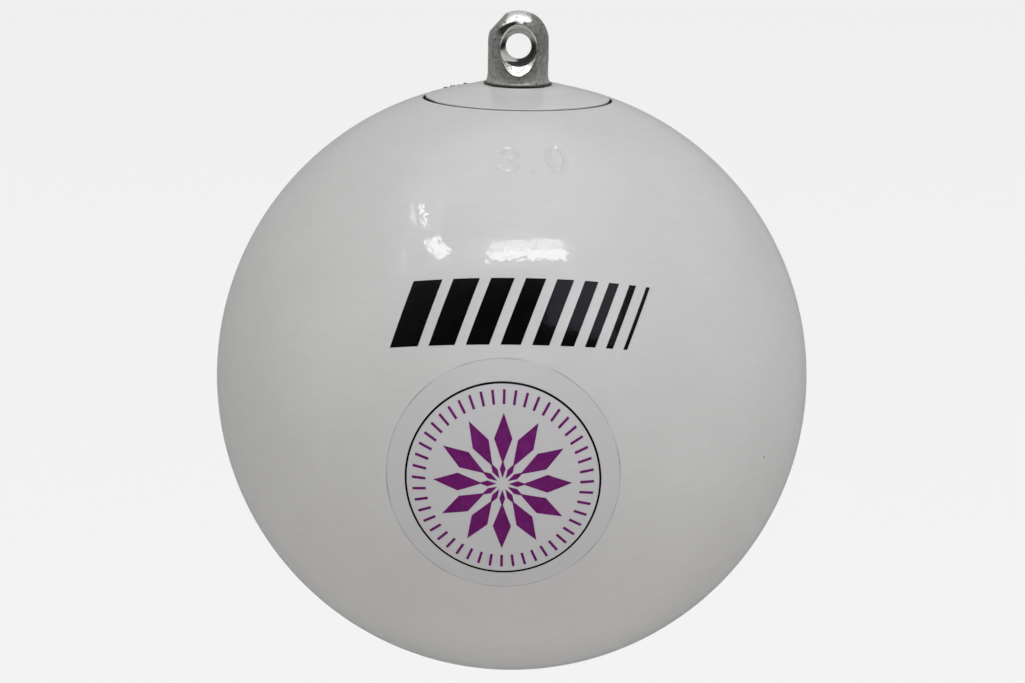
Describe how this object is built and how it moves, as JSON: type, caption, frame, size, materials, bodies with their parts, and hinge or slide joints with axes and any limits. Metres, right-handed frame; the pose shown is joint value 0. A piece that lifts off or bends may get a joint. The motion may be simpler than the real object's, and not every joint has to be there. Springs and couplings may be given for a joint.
{
  "type": "throwing hammer head",
  "caption": "Enamelled iron ball of a throwing hammer with a flush plug and a steel eye for the wire, which swivels on a thrust ball bearing.",
  "frame": {"origin": "centre of the hole through the eye, where the hammer's wire pulls", "axes": "+Z along the swivel's axis, out of the ball; -Y is the side that carries the print, and the eye's hole runs along Y"},
  "size_m": [0.09, 0.09, 0.1009],
  "materials": {
    "white_enamel": "gloss",
    "pitted_steel": "satin",
    "bearing_steel": "polished",
    "hardened_washer": "satin",
    "zinc_plate": "satin",
    "bright_wire": "satin",
    "pressed_brass": "satin",
    "oiled_bronze": "satin",
    "cast_lead": "matte",
    "nitrile_rubber": "matte"
  },
  "bodies": {
    "head": {"head_ball": "white_enamel", "swivel_plug": "white_enamel", "lead_ballast": "cast_lead", "guide_bush": "oiled_bronze", "grease_seal": "nitrile_rubber", "upper_race": "bearing_steel"},
    "swivel": {"swivel_spindle": "pitted_steel", "lower_race": "bearing_steel", "thrust_washer": "hardened_washer", "castle_nut": "zinc_plate", "cotter_pin": "bright_wire"},
    "cage": {"bearing_cage": "pressed_brass"},
    "ball_1": {"bearing_ball_1": "bearing_steel"},
    "ball_2": {"bearing_ball_2": "bearing_steel"},
    "ball_3": {"bearing_ball_3": "bearing_steel"},
    "ball_4": {"bearing_ball_4": "bearing_steel"},
    "ball_5": {"bearing_ball_5": "bearing_steel"},
    "ball_6": {"bearing_ball_6": "bearing_steel"},
    "ball_7": {"bearing_ball_7": "bearing_steel"},
    "ball_8": {"bearing_ball_8": "bearing_steel"},
    "ball_9": {"bearing_ball_9": "bearing_steel"}
  },
  "joints": [
    {"name": "swivel_spin", "type": "hinge", "parent": "head", "child": "swivel", "pos_m": [0, 0, 0], "axis": [0, 0, 1], "continuous": true},
    {"name": "cage_spin", "type": "hinge", "parent": "head", "child": "cage", "pos_m": [0, 0, -0.01876], "axis": [0, 0, 1], "continuous": true},
    {"name": "ball_1_roll", "type": "hinge", "parent": "cage", "child": "ball_1", "pos_m": [0.00675, 0, -0.01876], "axis": [1, 0, 0], "continuous": true},
    {"name": "ball_2_roll", "type": "hinge", "parent": "cage", "child": "ball_2", "pos_m": [0.00517, 0.00434, -0.01876], "axis": [0.766, 0.6428, 0], "continuous": true},
    {"name": "ball_3_roll", "type": "hinge", "parent": "cage", "child": "ball_3", "pos_m": [0.00117, 0.00665, -0.01876], "axis": [0.1736, 0.9848, 0], "continuous": true},
    {"name": "ball_4_roll", "type": "hinge", "parent": "cage", "child": "ball_4", "pos_m": [-0.00338, 0.00585, -0.01876], "axis": [-0.5, 0.866, 0], "continuous": true},
    {"name": "ball_5_roll", "type": "hinge", "parent": "cage", "child": "ball_5", "pos_m": [-0.00634, 0.00231, -0.01876], "axis": [-0.9397, 0.342, 0], "continuous": true},
    {"name": "ball_6_roll", "type": "hinge", "parent": "cage", "child": "ball_6", "pos_m": [-0.00634, -0.00231, -0.01876], "axis": [-0.9397, -0.342, 0], "continuous": true},
    {"name": "ball_7_roll", "type": "hinge", "parent": "cage", "child": "ball_7", "pos_m": [-0.00338, -0.00585, -0.01876], "axis": [-0.5, -0.866, 0], "continuous": true},
    {"name": "ball_8_roll", "type": "hinge", "parent": "cage", "child": "ball_8", "pos_m": [0.00117, -0.00665, -0.01876], "axis": [0.1736, -0.9848, 0], "continuous": true},
    {"name": "ball_9_roll", "type": "hinge", "parent": "cage", "child": "ball_9", "pos_m": [0.00517, -0.00434, -0.01876], "axis": [0.766, -0.6428, 0], "continuous": true}
  ],
  "couplings": [
    {"joint": "cage_spin", "follows": "swivel_spin", "ratio": 0.5},
    {"joint": "ball_1_roll", "follows": "swivel_spin", "ratio": 1.7008},
    {"joint": "ball_2_roll", "follows": "swivel_spin", "ratio": 1.7008},
    {"joint": "ball_3_roll", "follows": "swivel_spin", "ratio": 1.7008},
    {"joint": "ball_4_roll", "follows": "swivel_spin", "ratio": 1.7008},
    {"joint": "ball_5_roll", "follows": "swivel_spin", "ratio": 1.7008},
    {"joint": "ball_6_roll", "follows": "swivel_spin", "ratio": 1.7008},
    {"joint": "ball_7_roll", "follows": "swivel_spin", "ratio": 1.7008},
    {"joint": "ball_8_roll", "follows": "swivel_spin", "ratio": 1.7008},
    {"joint": "ball_9_roll", "follows": "swivel_spin", "ratio": 1.7008}
  ]
}
